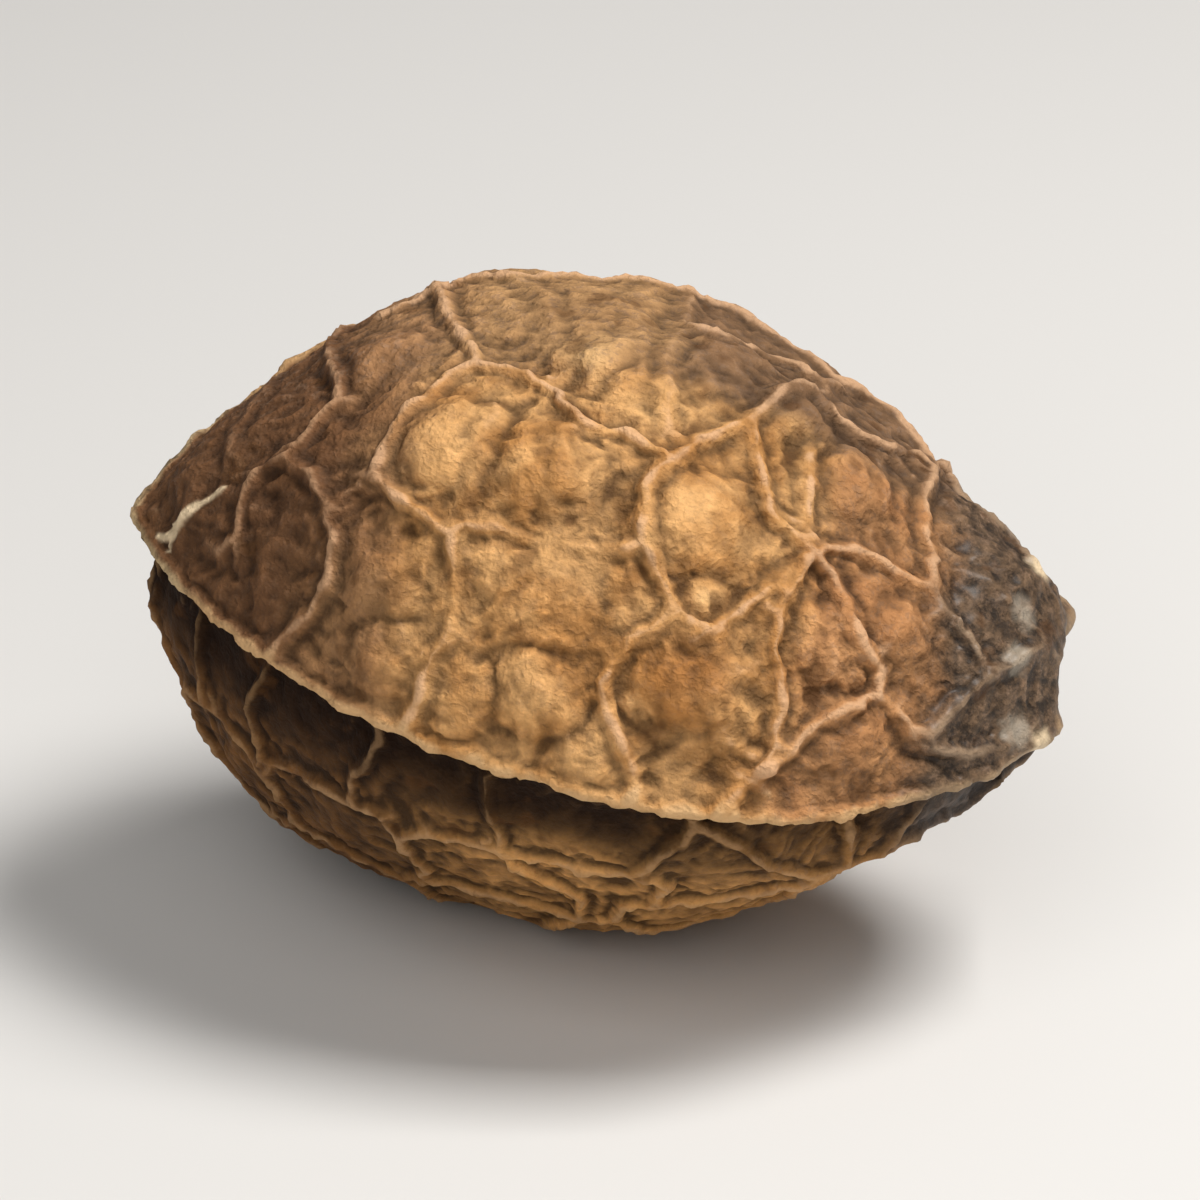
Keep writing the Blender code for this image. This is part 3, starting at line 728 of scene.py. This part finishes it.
# the ridges are paler, but less so in the keel's painted shadow
body = mixed(step(worn, 0.50, 1.20) * (0.72 - keel_groove_shadow * 0.35), body, edges)
body = mixed(step(attribute("keel") + speckle * 0.4, 0.45, 1.0) * 0.9, body, lip)
body = layered(body, (
    (step(attribute("glint"), 0.2, 0.8) * 0.55, "b7aa97"),
    # the base's pale flecks, and the painted highlight inside the pointed end
    (step(attribute("fleck"), 0.1, 0.8) * 0.95, "e9d0aa"),
))
tree.links.new(body.socket, shader.inputs["Base Color"])
print("whole colour:", len(tree.nodes), "nodes so far")

# %% [markdown]
# ## Shine and fine bumps
# Dried skin is dull, and only the base has a thin waxy shine, which is a weak coat. The finest
# grain is smaller than the triangles, so it is a bump: cloudy noise, with thin creases cut into it
# where a second noise crosses its middle.

# %% Husk material: shine and fine bumps
BUMP_HEIGHT = 0.04 * MM

rough = 0.65 + speckle * 0.25 - base_zone * 0.15 + keel_groove_shadow * 0.2
tree.links.new(rough.socket, shader.inputs["Roughness"])
tree.links.new((base_zone * 0.28).socket, shader.inputs["Coat Weight"])
shader.inputs["Specular IOR Level"].default_value = 0.2
shader.inputs["Coat Roughness"].default_value = 0.35
relief = cloud(11.0, 5.0, 0.7) - abs(cloud(6.0, 2.0) - 0.5) * 2.5
sockets = {"Strength": 1.0, "Distance": BUMP_HEIGHT, "Height": relief}
bump = add(tree, "ShaderNodeBump", {}, sockets, out="Normal")
tree.links.new(bump.socket, shader.inputs["Normal"])
print("husk material:", len(tree.nodes), "nodes")

# %% [markdown]
# ## The husk takes the solid's place
# The material goes on the husk. The husk then rides on the fruit's only body and is shown in place
# of the solid, which stays under it for the physics.

# %% Dress the husk
mesh.materials.clear()
mesh.materials.append(skin)
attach(husk, "root")
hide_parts("dried_drupe")
print("dressed:", husk.name, "with", skin.name)

# %% [markdown]
# ## A pale table
# The fruit is smaller than a fingernail, so its studio is small too. A plain pale floor carries it
# and takes its shadow.

# %% Floor
bpy.ops.mesh.primitive_plane_add(size=1.0, location=(0, 0, 0))
floor_plane = bpy.context.view_layer.objects.active
floor_plane.name = "pale_floor"
pale = bpy.data.materials.new("pale_table")
pale.use_nodes = True
pale.node_tree.nodes["Principled BSDF"].inputs["Base Color"].default_value = (0.70, 0.69, 0.67, 1)
pale.node_tree.nodes["Principled BSDF"].inputs["Roughness"].default_value = 0.7
floor_plane.data.materials.append(pale)
print("floor:", tuple(floor_plane.dimensions))

# %% [markdown]
# ## Two lamps and a room
# One soft square light stands high on the right, so it rakes over the ridges and leaves the low
# face in shade. A wide weak one in front opens the shadows, and the room adds a little light from
# everywhere. The lamps stand only nine centimetres away, because the fruit is so small.

# %% Lights
FRUIT_MIDDLE = Vector((0, 0.05 * MM, 3.6 * MM))
LAMP_DISTANCE = 0.09


def direction(azimuth, elevation):
    """Towards a light or a camera: azimuth 0 is the front, 90 the right."""
    a, e = math.radians(azimuth), math.radians(elevation)
    return Vector((math.sin(a) * math.cos(e), -math.cos(a) * math.cos(e), math.sin(e)))


def soft_light(name, azimuth, elevation, size, watts, glow):
    """A square area light that faces the fruit."""
    lamp = bpy.data.lights.new(name, "AREA")
    lamp.size, lamp.energy, lamp.color = size, watts, glow
    holder = bpy.data.objects.new(name, lamp)
    bpy.context.scene.collection.objects.link(holder)
    towards = direction(azimuth, elevation)
    holder.location = FRUIT_MIDDLE + towards * LAMP_DISTANCE
    holder.rotation_euler = towards.to_track_quat("Z", "Y").to_euler()
    print("lamp:", name, "at", tuple(round(value, 3) for value in holder.location))


soft_light("window", 95, 64, 0.035, 0.085, (1.0, 0.98, 0.96))
soft_light("front_fill", -5, 45, 0.08, 0.040, (1.0, 0.99, 0.98))
world = bpy.data.worlds.new("room")
bpy.context.scene.world = world
world.use_nodes = True
world.node_tree.nodes["Background"].inputs["Color"].default_value = (1.0, 0.98, 0.96, 1)
world.node_tree.nodes["Background"].inputs["Strength"].default_value = 0.14
bpy.context.scene.view_settings.view_transform = "Standard"

# %% [markdown]
# ## The camera
# The fruit was photographed from far away compared with its size, and from slightly above. So the
# camera has a long lens, stands a little to the right of the front, and looks down on the fruit.

# %% Camera
CAMERA_DISTANCE = 0.0605
CAMERA_LIFT = Vector((0, 0, 0.1 * MM))

lens = bpy.data.cameras.new("long_lens")
lens.lens = 180
lens.clip_start, lens.clip_end = 0.002, 2.0
camera = bpy.data.objects.new("long_lens", lens)
bpy.context.scene.collection.objects.link(camera)
towards = direction(7, 26.5)
camera.location = FRUIT_MIDDLE + towards * CAMERA_DISTANCE + CAMERA_LIFT
camera.rotation_euler = towards.to_track_quat("Z", "Y").to_euler()
bpy.context.scene.camera = camera
print("camera:", lens.lens, "mm lens at", tuple(round(value, 4) for value in camera.location))
